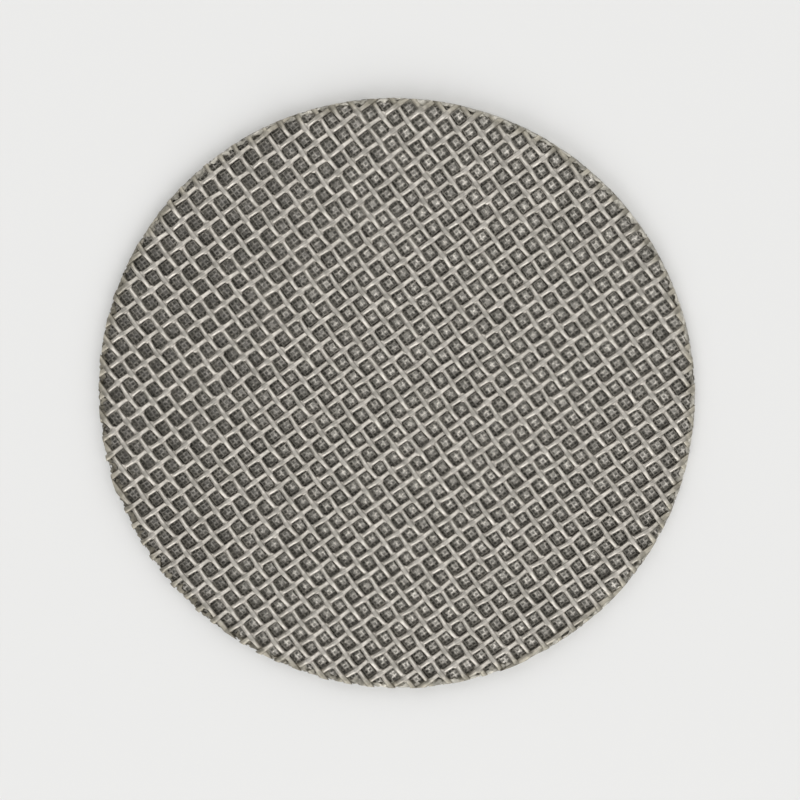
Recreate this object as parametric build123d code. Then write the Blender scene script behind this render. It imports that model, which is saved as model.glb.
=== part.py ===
from build123d import *
import math
import os

# Disc of sintered woven wire mesh, millimetres, +Z up.
# The origin is the centre of the back face, and the coarse mesh faces up.

# Driving dimensions
disc_diameter = 58.5
disc_thickness = 1.70
wall_thickness = 0.90

# Coarse mesh: two sets of wires that cross at right angles
wire_diameter = 0.42
warp_pitch = 1.660
weft_pitch = 1.763
warp_shift = 0.656
weft_shift = -0.230
weave_turn = 36.06

# A fused wire is a ridge whose foot is a third wider than the wire, rooted a little below the
# wall's face. Punching leaves its cut ends just inside the rim.
ridge_foot = wire_diameter * 4 / 3
ridge_root = 0.10
ridge_setback = 0.10


def half_length(place):
    """Half the length of the ridge at this distance from the centre, where its foot meets the rim."""
    reach = disc_diameter / 2 - ridge_setback
    corner = abs(place) + ridge_foot / 2
    return math.sqrt(max(reach**2 - corner**2, 0))


def ridge_places(pitch, shift):
    """Places of one set's wires, leaving out a last one that is shorter than the pitch."""
    most = math.ceil(disc_diameter / 2 / pitch)
    places = [shift + number * pitch for number in range(-most, most + 1)]
    return [place for place in places if half_length(place) > pitch / 2]


def ridge(place, plane):
    """Roof-shaped ridge along the plane's normal, from its root in the wall to the crest of the mesh."""
    height = disc_thickness - wall_thickness
    root_half_width = ridge_foot / 2 * (height + ridge_root) / height
    root = wall_thickness - ridge_root
    section = Polyline(
        (place - root_half_width, root),
        (place, disc_thickness),
        (place + root_half_width, root),
        close=True,
    )
    return extrude(make_face(plane * section), amount=half_length(place), both=True)


def coarse_mesh():
    """The ridges of both sets of wires, turned to the weave's angle."""
    warp = [ridge(place, Plane.XZ) for place in ridge_places(warp_pitch, warp_shift)]
    weft = [ridge(place, Plane.YZ) for place in ridge_places(weft_pitch, weft_shift)]
    return [Rot(0, 0, weave_turn) * wire for wire in warp + weft]


def mesh_disc():
    """The punched wall of fine mesh with the coarse mesh fused onto it: one closed solid."""
    wall = Cylinder(disc_diameter / 2, wall_thickness, align=(Align.CENTER, Align.CENTER, Align.MIN))
    return wall + coarse_mesh()


os.makedirs("parts", exist_ok=True)
export_step(mesh_disc().solids()[0], "parts/mesh_disc.step")
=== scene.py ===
import math

import bpy
import numpy as np
from mathutils import Matrix, Vector


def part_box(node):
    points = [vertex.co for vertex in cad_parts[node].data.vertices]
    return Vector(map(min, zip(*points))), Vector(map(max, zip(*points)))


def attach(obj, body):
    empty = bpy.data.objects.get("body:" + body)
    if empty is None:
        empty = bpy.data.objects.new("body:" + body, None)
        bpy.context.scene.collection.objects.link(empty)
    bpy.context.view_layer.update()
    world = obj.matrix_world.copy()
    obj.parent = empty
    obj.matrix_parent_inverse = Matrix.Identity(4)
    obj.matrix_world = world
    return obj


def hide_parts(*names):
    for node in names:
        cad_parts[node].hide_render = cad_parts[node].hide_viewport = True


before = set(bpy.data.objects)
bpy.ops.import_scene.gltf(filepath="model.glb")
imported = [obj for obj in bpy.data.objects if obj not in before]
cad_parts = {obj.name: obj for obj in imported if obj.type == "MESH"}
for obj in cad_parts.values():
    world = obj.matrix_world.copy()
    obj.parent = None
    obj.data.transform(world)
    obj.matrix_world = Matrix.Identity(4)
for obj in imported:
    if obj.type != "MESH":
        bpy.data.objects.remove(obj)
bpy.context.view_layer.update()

MM = 0.001

# The disc, from the frame
LOW, HIGH = (np.array(corner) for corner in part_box("mesh_disc"))
RADIUS = min(*-LOW[:2], *HIGH[:2])
TOP = HIGH[2]
WALL_TOP = 0.90 * MM

# A weave has two sets of wires, and each pair gives the warp's value first and then the weft's.
# The wires of a set lie at shift + number * pitch, in a frame that is turned about +Z.
#   high: the height at which rolling has levelled the weave
#   swing: how far a wire goes up and down from its middle height
#   press: how much of a wire's crest is rolled flat
#   pad: how much wider a wire is at a fused crossing, as a share of its radius
#   foot: the height that the underside of a wire is drawn down to, where the weave has a foot
#   bulge: how far the weave rises in the middle of a coarse opening
#   sides and rings: sides of a wire's section, and sections from one crossing to the next
#   wander: the most that each slow wave moves a wire sideways
#   end_wear and end_drop: how much the punch shortens an end at most, and how far it presses it down
COARSE = {
    "wire": 0.42 * MM,
    "pitch": (1.660 * MM, 1.763 * MM),
    "shift": (0.656 * MM, -0.230 * MM),
    "turn": (math.radians(36.06), math.radians(36.06)),
    "high": TOP,
    "swing": 0.15 * MM,
    "press": 0.06 * MM,
    "pad": 0.20,
    "foot": 0.86 * MM,
    "bulge": 0.0,
    "sides": 12,
    "rings": 8,
    "wander": 0.038 * MM,
    "end_wear": 0.09 * MM,
    "end_drop": 0.42 * MM,
}

# The fine mesh fused under it, laid a little askew
FINE = {
    "wire": 0.19 * MM,
    "pitch": (0.456 * MM, 0.435 * MM),
    "shift": (0.273 * MM, -0.234 * MM),
    "turn": (math.radians(35.70), math.radians(36.24)),
    "high": WALL_TOP,
    "swing": 0.07 * MM,
    "press": 0.02 * MM,
    "pad": 0.10,
    "foot": None,
    "bulge": 0.11 * MM,
    "sides": 6,
    "rings": 1,
    "wander": 0.006 * MM,
    "end_wear": 0.07 * MM,
    "end_drop": 0.02 * MM,
}

# Lengths of the slow waves in a wire, and the range that each one's share of the wander is drawn from
WANDER_WAVES = (3.1 * MM, 7.3 * MM, 17.0 * MM)
WANDER_SHARES = (0.3, 1.0)

# How sharply a wire widens toward a crossing
FUSED_POWER = 4

# Punching crushes the cut ends of the wires: how far in, how much wider and flatter they get, and
# how sharply that grows toward the end. The ends stay this far inside the rim.
END_LENGTH = 0.9 * MM
END_SPREAD = 0.35
END_POWER = 1.5
END_CLEARANCE = 0.01 * MM

# A wire with fewer steps than this between its cut ends is a sliver, and is left out
FEWEST_STEPS = 2

# The rim is most ragged at this azimuth, and has this share of it on the far side. Where it is most
# ragged, the ends are spared this share of their drop.
RAGGED_AT = math.radians(200)
RAGGED_LEAST = 0.25
END_KEPT = 0.85

# The metal that sintering draws into the corners of each crossing: a cushion with rings at these
# tilts in degrees, sized and placed a little differently each time
NECK_RADIUS = 0.425 * MM
NECK_HEIGHT = 1.33 * MM
NECK_RISE = 0.22 * MM
NECK_SIZES = (0.85, 1.15)
NECK_DRIFT = 0.02 * MM
NECK_SIDES = 12
NECK_RINGS = (25, 50, 75, 105, 150)

# The closed wall under the fine mesh, and the back face below it
CLOSED_TOP = 0.73 * MM
CLOSED_INSET = 0.45 * MM
BACK_GAP = 0.04 * MM
BACK_TOP = 0.30 * MM
BACK_INSET = 0.61 * MM
DISC_SEGMENTS = 240

# The band that punching smears round the rim, as rows in millimetres: inset from the rim, height,
# and how far the ripples move the row inward and up
RIM_ROWS = [
    (0.60, 0.00, 0.00, 0.00), (0.10, 0.00, 0.03, 0.00), (0.03, 0.04, 0.02, 0.00), (0.02, 0.18, 0.02, 0.01),
    (0.03, 0.32, 0.03, 0.01), (0.02, 0.46, 0.02, 0.01), (0.03, 0.60, 0.03, 0.01), (0.02, 0.80, 0.02, 0.02),
    (0.04, 0.98, 0.03, 0.05), (0.12, 1.07, 0.06, 0.08), (0.24, 1.08, 0.09, 0.10), (0.36, 1.04, 0.12, 0.09),
    (0.46, 0.92, 0.13, 0.04), (0.53, 0.72, 0.06, 0.02), (0.60, 0.40, 0.02, 0.00),
]
RIM_SEGMENTS = 1200
INWARD_WAVES = 260
UPWARD_WAVES = 200

# Rows above this height, in millimetres, ripple inward up to this many times more where it is ragged
TORN_ABOVE = 0.5
TORN_MORE = 3

# Rows with less than this inset, in millimetres, are bitten in, deepest beside the coarse openings
BITE_DEPTH = 0.30 * MM
BITE_WAVES = 160
BITE_WITHIN = 0.2

# Least angles in degrees that show as an edge
WIRE_CREASE = 62
DISC_CREASE = 30
RIM_CREASE = 50

# Metal under the coarse mesh: a painted reflection across the disc this way, from edge to edge, darkest at
# one edge and brightest past the middle
UNDER_REFLECTION_WAY = (0.97, -0.22)
UNDER_REFLECTION_TONES = [(0.0, 0.34), (0.22, 0.46), (0.42, 0.94), (0.55, 1.0), (0.80, 0.93), (1.0, 0.74)]

# Where a tone changes: the painted shade between an opening's middle (0) and a coarse wire (1), the
# painted shade between the crossings (0) and a crossing's middle (1), the darker tone from the disc's
# middle (0) to its rim (1), and the painted shade on the lip from the disc's middle (0) to its ragged side
# (1)
OPENING_SPAN = (0.10, 0.42)
CROSSING_SPAN = (0.52, 0.78)
RIM_SPAN = (0.955, 0.985)
RAGGED_SPAN = (0.2, 0.8)

# The heights between which the rim's punched side becomes its lip
LIP_HEIGHTS = (WALL_TOP - 0.1 * MM, WALL_TOP + 0.05 * MM)

# Where noise changes a tone: in the metal's patches, in its flecks and in the floor's clouds
PATCH_SPAN = (0.38, 0.62)
FLECK_SPAN = (0.4, 0.6)
CLOUD_SPAN = (0.3, 0.7)
GRAIN_STRENGTH = 0.5

# The back face's weave as relief: its depth, how much higher one wire is than the other at a
# crossing, a wire's own height and roundness, and the heights between which the painted shade in its pores
# lightens
BACK_RELIEF = 0.16 * MM
BACK_SWING = 0.25
BACK_CROWN = 0.5
BACK_ROUNDNESS = 0.7
PORE_SHADE_SPAN = (0.2, 0.5)

WHITE = (1.0, 1.0, 1.0)
BLACK = (0.0, 0.0, 0.0)

# The pale floor: how far it reaches from the middle each way, and its two tones
FLOOR_REACH = 3.0
FLOOR_DARK = (0.745, 0.755, 0.77)
FLOOR_LIGHT = (0.76, 0.77, 0.785)

# The studio's light: wide glows as (azimuth, elevation, strength), narrower with a larger number
LIGHT_COLOUR = (1.0, 0.985, 0.955)
GLOW_NARROWNESS = 14.0
AMBIENT = 0.10
GLOWS = [
    (0, 90, 0.6), (0, 62, 0.7), (120, 62, 0.6), (300, 62, 0.3), (68, 38, 0.8), (112, 38, 1.6), (248, 38, 1.7),
    (338, 38, 1.5), (45, 18, 1.2), (90, 18, 0.5), (135, 18, 0.8), (270, 18, 4.1),
]

# A pale backdrop stands round the horizon, and fades out between these elevations
BACKDROP = 0.83
BACKDROP_FADE = (8, 14)

# The camera, in real disc radii from the middle of the coarse mesh's face, and its three axes
CAMERA_AT = (0.51944, 1.14138, 6.84624)
CAMERA_UNIT = 29.25 * MM
CAMERA_RIGHT = (0.99743, -0.01175, -0.07061)
CAMERA_UP = (0.0, 0.98643, -0.16420)
CAMERA_BACK = (0.07159, 0.16378, 0.98390)
CAMERA_CLIP = (0.01, 20.0)
FACE_HEIGHT = 1.45 * MM
IMAGE_SIDE = 800
FOCAL_PIXELS = 2085.9
SENSOR = 36.0

# Places of the colour sockets of Blender's mix node
MIX_FACTOR = 0
MIX_FIRST = 6
MIX_SECOND = 7
MIX_RESULT = 2


def turn_about_z(angle):
    """Rotation matrix about +Z."""
    return np.array(Matrix.Rotation(angle, 3, "Z"))


def new_piece(name, vertices, faces, material, crease):
    """Closed mesh piece with smooth faces, sharp where they meet at more than the crease angle."""
    mesh = bpy.data.meshes.new(name)
    mesh.from_pydata(vertices, [], faces)
    mesh.polygons.foreach_set("use_smooth", [True] * len(mesh.polygons))
    mesh.set_sharp_from_angle(angle=math.radians(crease))
    mesh.materials.append(material)
    mesh.validate()
    piece = bpy.data.objects.new(name, mesh)
    bpy.context.scene.collection.objects.link(piece)
    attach(piece, "root")
    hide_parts("mesh_disc")


def ring_quads(first, second, sides):
    """Quads between two rings of vertices, which start at these numbers."""
    pairs = [(k, (k + 1) % sides) for k in range(sides)]
    return [(first + k, first + after, second + after, second + k) for k, after in pairs]


def stack_faces(start, count, sides):
    """Faces of a closed stack of rings that starts at this vertex. Its two hubs come after the rings."""
    faces = []
    for ring in range(count - 1):
        faces += ring_quads(start + ring * sides, start + (ring + 1) * sides, sides)
    hub = start + count * sides
    last = hub - sides
    for k in range(sides):
        after = (k + 1) % sides
        faces += [(hub, start + after, start + k), (hub + 1, last + k, last + after)]
    return faces


def openness(points):
    """How far each point is inside an opening of the coarse mesh: 1 in its middle and 0 under a wire."""
    lattice = points @ turn_about_z(COARSE["turn"][0])
    waves = [
        np.cos(2 * math.pi * (lattice[:, axis] - COARSE["shift"][axis]) / COARSE["pitch"][axis])
        for axis in (0, 1)
    ]
    return (1 - np.maximum(*waves)) / 2


def raggedness(azimuths):
    """How ragged the rim is at these azimuths: 1 at the photo's left edge and least at its right."""
    return RAGGED_LEAST + (1 - RAGGED_LEAST) * np.maximum(np.cos(azimuths - RAGGED_AT), 0) ** 2


def crossing_phase(weave, line, cross_set):
    """Phase along a wire, which grows by pi from one crossing wire to the next."""
    return math.pi * (line - weave["shift"][cross_set]) / weave["pitch"][cross_set]


def centre_height(weave, phase, sign):
    """Height of a wire's centre line: over one crossing wire and under the next."""
    middle = weave["high"] - weave["wire"] / 2 - weave["swing"] + weave["press"]
    return middle + sign * weave["swing"] * np.cos(phase)


def wander(rng, line, amount):
    """Slow sideways drift of a woven wire, as a few long waves with seeded phases."""
    drift = np.zeros_like(line)
    for wavelength in WANDER_WAVES:
        phase = rng.uniform(0, 2 * math.pi)
        share = rng.uniform(*WANDER_SHARES)
        drift = drift + amount * share * np.sin(2 * math.pi * line / wavelength + phase)
    return drift


def wire_ends(weave, rng, set_index, place):
    """How far from the disc's middle a wire's two ends are cut, and how ragged the rim is there."""
    half = math.sqrt(max(RADIUS**2 - place**2, 0))
    middles = [complex(place, end) if set_index == 0 else complex(end, place) for end in (-half, half)]
    torn = raggedness(np.angle(middles) + weave["turn"][set_index])
    ends = RADIUS - END_CLEARANCE - rng.uniform(0, 1, 2) * weave["end_wear"] * (1 + torn)
    return ends, torn


def wire_line(weave, place, cross_set, ends):
    """Places of a wire's sections along it, with its cut ends, or None for a sliver."""
    widest = weave["wire"] / 2 * (1 + weave["pad"] + END_SPREAD)
    reach = abs(place) + widest + len(WANDER_WAVES) * weave["wander"]
    shortest = np.sqrt(np.maximum(ends**2 - reach**2, 0))
    shift = weave["shift"][cross_set]
    step = weave["pitch"][cross_set] / weave["rings"]
    gap = step / 3
    first = math.ceil((-shortest[0] + gap - shift) / step)
    last = math.floor((shortest[1] - gap - shift) / step)
    if last - first < FEWEST_STEPS:
        return None
    line = shift + step * np.arange(first, last + 1)
    return np.concatenate([[-shortest[0]], line, [shortest[1]]])


def wire_sections(weave, phase, crush, angles):
    """How far each point of a wire's sections is across and above its centre line."""
    radius = weave["wire"] / 2
    fused = np.cos(phase)[:, None] ** FUSED_POWER
    across = radius * (1 + weave["pad"] * fused + END_SPREAD * crush) * np.cos(angles)
    upward = radius * (1 - weave["pad"] / 2 * fused - END_SPREAD * crush) * np.sin(angles)
    return across, upward


def wire_tube(weave, rng, set_index, number):
    """Rings of one wire as an array of (ring, side, 3), with the wire along Y, or None for a sliver."""
    cross_set = 1 - set_index
    place = weave["shift"][set_index] + number * weave["pitch"][set_index]
    ends, torn = wire_ends(weave, rng, set_index, place)
    line = wire_line(weave, place, cross_set, ends)
    if line is None:
        return None
    phase = crossing_phase(weave, line, cross_set)
    angles = 2 * math.pi * (np.arange(weave["sides"]) + 0.5) / weave["sides"]
    inset = np.minimum(line - line[0], line[-1] - line)
    crush = np.clip(1 - inset / END_LENGTH, 0, 1)[:, None] ** END_POWER
    across, upward = wire_sections(weave, phase, crush, angles)
    dropped = np.where(line < line.mean(), *(1 - END_KEPT * torn))[:, None]
    height = centre_height(weave, phase, (-1) ** (number + set_index))[:, None]
    height = height - crush * weave["end_drop"] * dropped
    lean = np.arctan(np.gradient(height[:, 0]) / np.gradient(line))[:, None]
    rings = np.empty(across.shape + (3,))
    rings[..., 0] = place + wander(rng, line, weave["wander"])[:, None] + across
    rings[..., 1] = line[:, None] - upward * np.sin(lean)
    rings[..., 2] = np.minimum(height + upward * np.cos(lean), weave["high"])
    if weave["foot"] is not None:
        sunk = height + np.sin(angles) * (height - weave["foot"])
        rings[..., 2] = np.where(np.sin(angles) < 0, np.minimum(rings[..., 2], sunk), rings[..., 2])
    rings[0, :, 1] = -np.sqrt(ends[0] ** 2 - rings[0, :, 0] ** 2)
    rings[-1, :, 1] = np.sqrt(ends[1] ** 2 - rings[-1, :, 0] ** 2)
    return rings


def wire_set(name, weave, set_index, material, seed):
    """All the wires of one set, woven over and under the other set."""
    rng = np.random.default_rng(seed)
    most = math.ceil(RADIUS / weave["pitch"][set_index])
    tubes, faces, start = [], [], 0
    for number in range(-most, most + 1):
        rings = wire_tube(weave, rng, set_index, number)
        if rings is None:
            continue
        hubs = [rings[0].mean(axis=0), rings[-1].mean(axis=0)]
        tube = np.vstack([rings.reshape(-1, 3), hubs])
        tubes.append(tube if set_index == 0 else tube[:, [1, 0, 2]])
        faces += stack_faces(start, len(rings), weave["sides"])
        start += len(tube)
    if set_index == 0:
        faces = [face[::-1] for face in faces]
    vertices = np.vstack(tubes) @ turn_about_z(weave["turn"][set_index]).T
    vertices[:, 2] += weave["bulge"] * openness(vertices)
    new_piece(name, vertices, faces, material, WIRE_CREASE)


def neck_shape():
    """Points of a ball of radius 1: its rings from the top down, and then its two poles."""
    around = 2 * math.pi * np.arange(NECK_SIDES) / NECK_SIDES
    rings = [
        (math.sin(tilt) * math.cos(turn), math.sin(tilt) * math.sin(turn), math.cos(tilt))
        for tilt in np.radians(NECK_RINGS)
        for turn in around
    ]
    return np.array(rings + [(0.0, 0.0, 1.0), (0.0, 0.0, -1.0)])


def neck_set(name, material, seed):
    """A low cushion in each crossing of the coarse wires, which rounds the corners of the openings."""
    rng = np.random.default_rng(seed)
    most = [math.ceil(RADIUS / pitch) for pitch in COARSE["pitch"]]
    grid = [COARSE["shift"][k] + COARSE["pitch"][k] * np.arange(-most[k], most[k] + 1) for k in (0, 1)]
    middles = np.stack(np.meshgrid(*grid), axis=-1).reshape(-1, 2)
    middles = middles[np.hypot(*middles.T) < RADIUS - END_LENGTH]
    shape = neck_shape()
    necks, faces = [], []
    for number, middle in enumerate(middles):
        radius = NECK_RADIUS * rng.uniform(*NECK_SIZES)
        centre = np.array([*(middle + rng.normal(0, NECK_DRIFT, 2)), NECK_HEIGHT])
        necks.append(shape * np.array([radius, radius, NECK_RISE]) + centre)
        faces += stack_faces(number * len(shape), len(NECK_RINGS), NECK_SIDES)
    # The rings go down, so each face is turned over, from the same first corner
    faces = [(face[0], *face[:0:-1]) for face in faces]
    vertices = np.vstack(necks) @ turn_about_z(COARSE["turn"][0]).T
    new_piece(name, vertices, faces, material, WIRE_CREASE)


def wall_disc(name, material, inset, low, high):
    """A closed disc of the wall below the fine mesh, which ends inside the rim band."""
    radius = RADIUS - inset
    profile = [(radius / 2, low), (radius, low), (radius, high), (radius / 2, high)]
    angles = 2 * math.pi * np.arange(DISC_SEGMENTS) / DISC_SEGMENTS
    circle = np.stack([np.cos(angles), np.sin(angles)], axis=1)
    vertices = [(r * x, r * y, z) for r, z in profile for x, y in circle]
    vertices += [(0.0, 0.0, low), (0.0, 0.0, high)]
    faces = stack_faces(0, len(profile), DISC_SEGMENTS)
    new_piece(name, np.array(vertices), faces, material, DISC_CREASE)


def ripple(rng, waves):
    """Seeded closed ripple round the rim, from -1 to 1, with fewer than this many waves."""
    spectrum = np.zeros(RIM_SEGMENTS // 2 + 1, dtype=complex)
    spectrum[1:waves] = rng.normal(size=waves - 1) + 1j * rng.normal(size=waves - 1)
    curve = np.fft.irfft(spectrum, RIM_SEGMENTS)
    return np.clip(curve / (2 * curve.std()), -1, 1)


def rim_bite(rng, angles, torn):
    """How deep the punch bites into the rim round the disc."""
    circle = np.stack([np.cos(angles), np.sin(angles), np.zeros_like(angles)], axis=1)
    open_there = openness(circle * (RADIUS - BITE_DEPTH))
    return BITE_DEPTH * torn * (open_there + ripple(rng, BITE_WAVES) + 1) / 3


def rim_band(name, material, seed):
    """Closed band of smeared metal round the rim: the punched side, and a low lip over the fine mesh."""
    rng = np.random.default_rng(seed)
    angles = 2 * math.pi * np.arange(RIM_SEGMENTS) / RIM_SEGMENTS
    torn = raggedness(angles)
    bite = rim_bite(rng, angles, torn)
    vertices, faces = [], []
    for row, (inset, height, inward, upward) in enumerate(RIM_ROWS):
        tear = 1 + TORN_MORE * torn * (height > TORN_ABOVE)
        radius = RADIUS - (inset + inward * tear * ripple(rng, INWARD_WAVES)) * MM
        radius = np.minimum(radius - bite * (inset < BITE_WITHIN), RADIUS)
        level = np.maximum((height + upward * ripple(rng, UPWARD_WAVES)) * MM, 0)
        vertices.append(np.stack([radius * np.cos(angles), radius * np.sin(angles), level], axis=1))
        following = (row + 1) % len(RIM_ROWS)
        faces += ring_quads(row * RIM_SEGMENTS, following * RIM_SEGMENTS, RIM_SEGMENTS)
    new_piece(name, np.vstack(vertices), faces, material, RIM_CREASE)


def node_material(name):
    """New node material, with its node tree and its shader."""
    material = bpy.data.materials.new(name)
    material.use_nodes = True
    return material, material.node_tree, material.node_tree.nodes["Principled BSDF"]


def feed(tree, socket, source):
    """Links a socket to its source, or sets it where the source is a number or a colour."""
    if isinstance(source, tuple):
        socket.default_value = (*source, 1.0)
    elif isinstance(source, (int, float)):
        socket.default_value = source
    else:
        tree.links.new(source, socket)


def arithmetic(tree, operation, *sources):
    """Result of a math node over sockets or numbers."""
    node = tree.nodes.new("ShaderNodeMath")
    node.operation = operation
    for socket, source in zip(node.inputs, sources):
        feed(tree, socket, source)
    return node.outputs["Value"]


def blend(tree, kind, factor, first, second):
    """Colour of a mix node over sockets or colours."""
    node = tree.nodes.new("ShaderNodeMix")
    node.data_type = "RGBA"
    node.blend_type = kind
    feed(tree, node.inputs[MIX_FACTOR], factor)
    feed(tree, node.inputs[MIX_FIRST], first)
    feed(tree, node.inputs[MIX_SECOND], second)
    return node.outputs[MIX_RESULT]


def ramp(tree, source, stops):
    """Colour of a ramp over the source value, with stops as (place, colour)."""
    node = tree.nodes.new("ShaderNodeValToRGB")
    elements = node.color_ramp.elements
    elements[0].position, elements[0].color = stops[0][0], (*stops[0][1], 1.0)
    elements[1].position, elements[1].color = stops[-1][0], (*stops[-1][1], 1.0)
    for place, colour in stops[1:-1]:
        elements.new(place).color = (*colour, 1.0)
    feed(tree, node.inputs["Fac"], source)
    return node.outputs["Color"]


def fade(tree, source, span, first, last):
    """Colour that goes from the first to the last while the source goes through the span."""
    return ramp(tree, source, [(span[0], first), (span[1], last)])


def mapped(tree, source, before, after, curve="LINEAR"):
    """The source value, taken from one range to another."""
    node = tree.nodes.new("ShaderNodeMapRange")
    node.interpolation_type = curve
    node.inputs["From Min"].default_value, node.inputs["From Max"].default_value = before
    node.inputs["To Min"].default_value, node.inputs["To Max"].default_value = after
    feed(tree, node.inputs["Value"], source)
    return node.outputs["Result"]


def coordinates(tree, kind):
    """Texture coordinates of this kind."""
    return tree.nodes.new("ShaderNodeTexCoord").outputs[kind]


def parts_of(tree, vector):
    """The vector's X, Y and Z."""
    node = tree.nodes.new("ShaderNodeSeparateXYZ")
    feed(tree, node.inputs["Vector"], vector)
    return node.outputs["X"], node.outputs["Y"], node.outputs["Z"]


def reach_along(tree, vector, direction):
    """How far the vector goes this way."""
    node = tree.nodes.new("ShaderNodeVectorMath")
    node.operation = "DOT_PRODUCT"
    node.inputs[1].default_value = direction
    feed(tree, node.inputs[0], vector)
    return node.outputs["Value"]


def noise(tree, scale, detail, rough):
    """Noise in the object's own coordinates."""
    node = tree.nodes.new("ShaderNodeTexNoise")
    node.inputs["Scale"].default_value = scale
    node.inputs["Detail"].default_value = detail
    node.inputs["Roughness"].default_value = rough
    feed(tree, node.inputs["Vector"], coordinates(tree, "Object"))
    return node.outputs["Fac"]


def steel(name, dark, light, fleck_scale, fleck_tone, rough, grain_scale, grain_depth):
    """Sintered stainless steel: patchy warm grey metal with small dark flecks and a fine grain."""
    material, tree, shader = node_material(name)
    patches = fade(tree, noise(tree, scale=700.0, detail=3.0, rough=0.6), PATCH_SPAN, dark, light)
    spots = noise(tree, fleck_scale, detail=2.0, rough=0.5)
    flecks = fade(tree, spots, FLECK_SPAN, (fleck_tone,) * 3, WHITE)
    feed(tree, shader.inputs["Base Color"], blend(tree, "MULTIPLY", 1.0, patches, flecks))
    grain = noise(tree, grain_scale, detail=4.0, rough=0.65)
    feed(tree, shader.inputs["Roughness"], mapped(tree, grain, (0.0, 1.0), rough))
    bump = tree.nodes.new("ShaderNodeBump")
    bump.inputs["Strength"].default_value = GRAIN_STRENGTH
    bump.inputs["Distance"].default_value = grain_depth
    feed(tree, bump.inputs["Height"], grain)
    feed(tree, shader.inputs["Normal"], bump.outputs["Normal"])
    shader.inputs["Metallic"].default_value = 1.0
    return material


def tint(material, colour):
    """Multiplies a metal's colour by the colour of this socket."""
    tree = material.node_tree
    socket = tree.nodes["Principled BSDF"].inputs["Base Color"]
    feed(tree, socket, blend(tree, "MULTIPLY", 1.0, colour, socket.links[0].from_socket))


def lattice_waves(tree, weave, cycle):
    """Cosines of the two coordinates in a weave's own lattice, which grow by one cycle for each pitch."""
    node = tree.nodes.new("ShaderNodeMapping")
    node.vector_type = "TEXTURE"
    turn = weave["turn"][0]
    node.inputs["Location"].default_value = Matrix.Rotation(turn, 3, "Z") @ Vector((*weave["shift"], 0.0))
    node.inputs["Rotation"].default_value = (0.0, 0.0, turn)
    node.inputs["Scale"].default_value = [pitch / cycle for pitch in weave["pitch"]] + [1.0]
    feed(tree, node.inputs["Vector"], coordinates(tree, "Object"))
    across, along, _ = parts_of(tree, node.outputs["Vector"])
    return [arithmetic(tree, "COSINE", way) for way in (across, along)]


def raised(tree, wave):
    """A wave between -1 and 1, brought between 0 and 1."""
    return arithmetic(tree, "MULTIPLY_ADD", wave, 0.5, 0.5)


def shade_openings(material, bright, dull):
    """Paints light and shade on a metal by its place: painted shade at the coarse wires' feet, and a painted
    reflection across the disc in the middle of each opening.
    """
    tree = material.node_tree
    nearest = arithmetic(tree, "MAXIMUM", *lattice_waves(tree, COARSE, 2 * math.pi))
    # Painted shade: darker from each opening's middle toward the coarse wires' feet
    painted_shade = fade(tree, raised(tree, nearest), OPENING_SPAN, BLACK, WHITE)
    # Painted reflection across the disc: darkest at one edge, brightest past the middle
    across = reach_along(tree, coordinates(tree, "Object"), (*UNDER_REFLECTION_WAY, 0.0))
    side = arithmetic(tree, "MULTIPLY_ADD", across, 0.5 / RADIUS, 0.5)
    tone = ramp(tree, side, [(place, (level,) * 3) for place, level in UNDER_REFLECTION_TONES])
    lit = blend(tree, "MULTIPLY", 1.0, tone, bright)
    tint(material, blend(tree, "MIX", painted_shade, lit, dull))


def shade_crossings(material, darkest):
    """Paints shade on the coarse wires where they cross, darkest at each crossing's middle."""
    tree = material.node_tree
    waves = lattice_waves(tree, COARSE, 2 * math.pi)
    near = arithmetic(tree, "MULTIPLY", *[raised(tree, wave) for wave in waves])
    tint(material, fade(tree, near, CROSSING_SPAN, WHITE, darkest))


def dull_rim(material, darkest):
    """Tones a metal down over the last millimetre before the rim."""
    tree = material.node_tree
    flat = tree.nodes.new("ShaderNodeVectorMath")
    flat.operation = "MULTIPLY"
    flat.inputs[1].default_value = (1 / RADIUS, 1 / RADIUS, 0.0)
    feed(tree, flat.inputs[0], coordinates(tree, "Object"))
    distance = tree.nodes.new("ShaderNodeVectorMath")
    distance.operation = "LENGTH"
    feed(tree, distance.inputs[0], flat.outputs["Vector"])
    tint(material, fade(tree, distance.outputs["Value"], RIM_SPAN, WHITE, darkest))


def shade_ragged_lip(material, darkest):
    """Paints shade on the rim's lip where it is ragged, and leaves the punched side below it as it is."""
    tree = material.node_tree
    place = coordinates(tree, "Object")
    toward = (math.cos(RAGGED_AT) / RADIUS, math.sin(RAGGED_AT) / RADIUS, 0.0)
    ragged = fade(tree, reach_along(tree, place, toward), RAGGED_SPAN, BLACK, WHITE)
    height = parts_of(tree, place)[2]
    high = mapped(tree, height, LIP_HEIGHTS, (0.0, 1.0))
    tint(material, blend(tree, "MIX", arithmetic(tree, "MULTIPLY", ragged, high), WHITE, darkest))


def weave_surface(material, weave, darkest):
    """Gives a flat metal face the bump relief of a plain weave, with painted shade in its pores."""
    tree = material.node_tree
    waves = lattice_waves(tree, weave, math.pi)
    rise = arithmetic(tree, "MULTIPLY", arithmetic(tree, "MULTIPLY", *waves), BACK_SWING)
    sizes = [arithmetic(tree, "ABSOLUTE", wave) for wave in waves]
    crowns = [arithmetic(tree, "POWER", size, BACK_ROUNDNESS) for size in sizes]
    over = arithmetic(tree, "MULTIPLY_ADD", crowns[0], BACK_CROWN, rise)
    under = arithmetic(tree, "SUBTRACT", arithmetic(tree, "MULTIPLY", crowns[1], BACK_CROWN), rise)
    height = arithmetic(tree, "MAXIMUM", over, under)
    relief = tree.nodes.new("ShaderNodeBump")
    relief.inputs["Distance"].default_value = BACK_RELIEF
    feed(tree, relief.inputs["Height"], height)
    normal = tree.nodes["Principled BSDF"].inputs["Normal"]
    feed(tree, relief.inputs["Normal"], normal.links[0].from_socket)
    feed(tree, normal, relief.outputs["Normal"])
    # Painted shade in the pores, darkest where the weave is lowest
    tint(material, fade(tree, height, PORE_SHADE_SPAN, darkest, WHITE))


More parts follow.
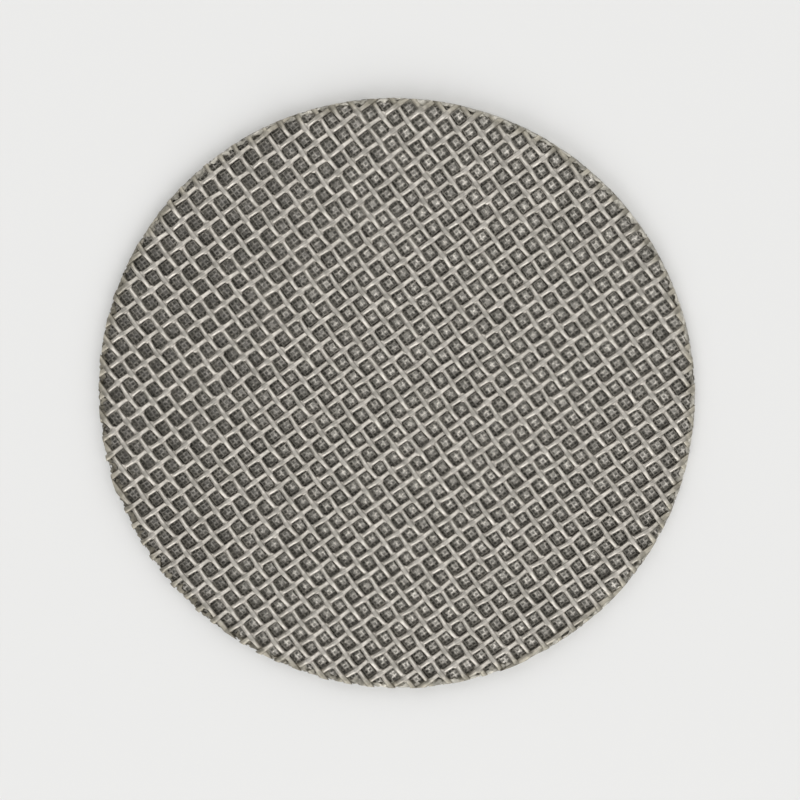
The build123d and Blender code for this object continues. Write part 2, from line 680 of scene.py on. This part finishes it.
def studio_floor():
    """Pale floor that the disc lies on."""
    mesh = bpy.data.meshes.new("floor")
    corners = [(x * FLOOR_REACH, y * FLOOR_REACH, 0) for x, y in ((-1, -1), (1, -1), (1, 1), (-1, 1))]
    mesh.from_pydata(corners, [], [(0, 1, 2, 3)])
    material, tree, shader = node_material("pale_floor")
    clouds = noise(tree, scale=3.0, detail=2.0, rough=0.5)
    feed(tree, shader.inputs["Base Color"], fade(tree, clouds, CLOUD_SPAN, FLOOR_DARK, FLOOR_LIGHT))
    shader.inputs["Roughness"].default_value = 0.9
    shader.inputs["Specular IOR Level"].default_value = 0.1
    mesh.materials.append(material)
    floor = bpy.data.objects.new("floor", mesh)
    bpy.context.scene.collection.objects.link(floor)


def with_glow(tree, way, light, azimuth, elevation, strength):
    """The light that comes this way, with a wide glow added to it."""
    turn, rise = math.radians(azimuth), math.radians(elevation)
    toward = (math.cos(turn) * math.cos(rise), math.sin(turn) * math.cos(rise), math.sin(rise))
    near = reach_along(tree, way, toward)
    falloff = arithmetic(tree, "MULTIPLY_ADD", near, GLOW_NARROWNESS, -GLOW_NARROWNESS)
    return arithmetic(tree, "MULTIPLY_ADD", arithmetic(tree, "EXPONENT", falloff), strength, light)


def studio_world():
    """Soft studio light as wide glows over a pale backdrop round the horizon."""
    world = bpy.data.worlds.new("studio")
    world.use_nodes = True
    tree = world.node_tree
    way = coordinates(tree, "Generated")
    light = AMBIENT
    for glow in GLOWS:
        light = with_glow(tree, way, light, *glow)
    fading = [math.sin(math.radians(elevation)) for elevation in BACKDROP_FADE]
    low = mapped(tree, parts_of(tree, way)[2], fading, (1.0, 0.0), "SMOOTHSTEP")
    seen = tree.nodes.new("ShaderNodeMix")
    feed(tree, seen.inputs["Factor"], low)
    feed(tree, seen.inputs["A"], light)
    feed(tree, seen.inputs["B"], BACKDROP)
    background = tree.nodes["Background"]
    feed(tree, background.inputs["Color"], LIGHT_COLOUR)
    feed(tree, background.inputs["Strength"], seen.outputs["Result"])
    bpy.context.scene.world = world


def photo_camera():
    """Camera at the photo's angle to the disc's face."""
    data = bpy.data.cameras.new("camera")
    data.sensor_width = SENSOR
    data.lens = SENSOR * FOCAL_PIXELS / IMAGE_SIDE
    data.clip_start, data.clip_end = CAMERA_CLIP
    camera = bpy.data.objects.new("camera", data)
    place = Vector(CAMERA_AT) * CAMERA_UNIT + Vector((0, 0, FACE_HEIGHT))
    axes = Matrix((CAMERA_RIGHT, CAMERA_UP, CAMERA_BACK)).transposed()
    camera.matrix_world = Matrix.Translation(place) @ axes.to_4x4()
    bpy.context.scene.collection.objects.link(camera)
    bpy.context.scene.camera = camera


photo_camera()
bpy.context.scene.view_settings.view_transform = "Standard"

wire_steel = steel(
    "wire_steel",
    dark=(0.545, 0.522, 0.482),
    light=(0.72, 0.69, 0.645),
    fleck_scale=2600.0,
    fleck_tone=0.86,
    rough=(0.47, 0.60),
    grain_scale=9000.0,
    grain_depth=0.014 * MM,
)
# Painted shade where the coarse wires cross
shade_crossings(wire_steel, (0.72, 0.72, 0.72))
dull_rim(wire_steel, (0.64, 0.63, 0.58))

fine_steel = steel(
    "fine_steel",
    dark=(0.62, 0.61, 0.60),
    light=(1.0, 0.985, 0.98),
    fleck_scale=3600.0,
    fleck_tone=0.56,
    rough=(0.42, 0.55),
    grain_scale=14000.0,
    grain_depth=0.01 * MM,
)
# The fine mesh gets painted shade at the coarse wires' feet and a painted reflection across the disc
shade_openings(fine_steel, (0.97, 0.95, 0.90), (0.39, 0.38, 0.35))

wall_steel = steel(
    "wall_steel",
    dark=(0.60, 0.60, 0.59),
    light=WHITE,
    fleck_scale=3300.0,
    fleck_tone=0.60,
    rough=(0.50, 0.65),
    grain_scale=6000.0,
    grain_depth=0.03 * MM,
)
# The closed wall seen through the fine mesh gets the same painted shade and painted reflection
shade_openings(wall_steel, (0.74, 0.723, 0.68), (0.235, 0.229, 0.21))

rim_steel = steel(
    "rim_steel",
    dark=(0.40, 0.387, 0.348),
    light=(0.64, 0.62, 0.565),
    fleck_scale=2600.0,
    fleck_tone=0.75,
    rough=(0.45, 0.60),
    grain_scale=7000.0,
    grain_depth=0.03 * MM,
)
# Painted shade on the rim's lip, where it is ragged
shade_ragged_lip(rim_steel, (0.50, 0.485, 0.45))

back_steel = steel(
    "back_steel",
    dark=(0.42, 0.41, 0.385),
    light=(0.56, 0.55, 0.515),
    fleck_scale=2600.0,
    fleck_tone=0.80,
    rough=(0.42, 0.55),
    grain_scale=9000.0,
    grain_depth=0.01 * MM,
)
# The back face's weave, with painted shade in its pores
weave_surface(back_steel, FINE, (0.25, 0.25, 0.25))

wire_set("coarse_warp", COARSE, 0, wire_steel, seed=11)
wire_set("coarse_weft", COARSE, 1, wire_steel, seed=12)
neck_set("coarse_necks", wire_steel, seed=13)
wire_set("fine_warp", FINE, 0, fine_steel, seed=21)
wire_set("fine_weft", FINE, 1, fine_steel, seed=22)
wall_disc("closed_wall", wall_steel, CLOSED_INSET, BACK_GAP, CLOSED_TOP)
wall_disc("back_mesh", back_steel, BACK_INSET, 0.0, BACK_TOP)
rim_band("rim_band", rim_steel, seed=31)

studio_floor()
studio_world()
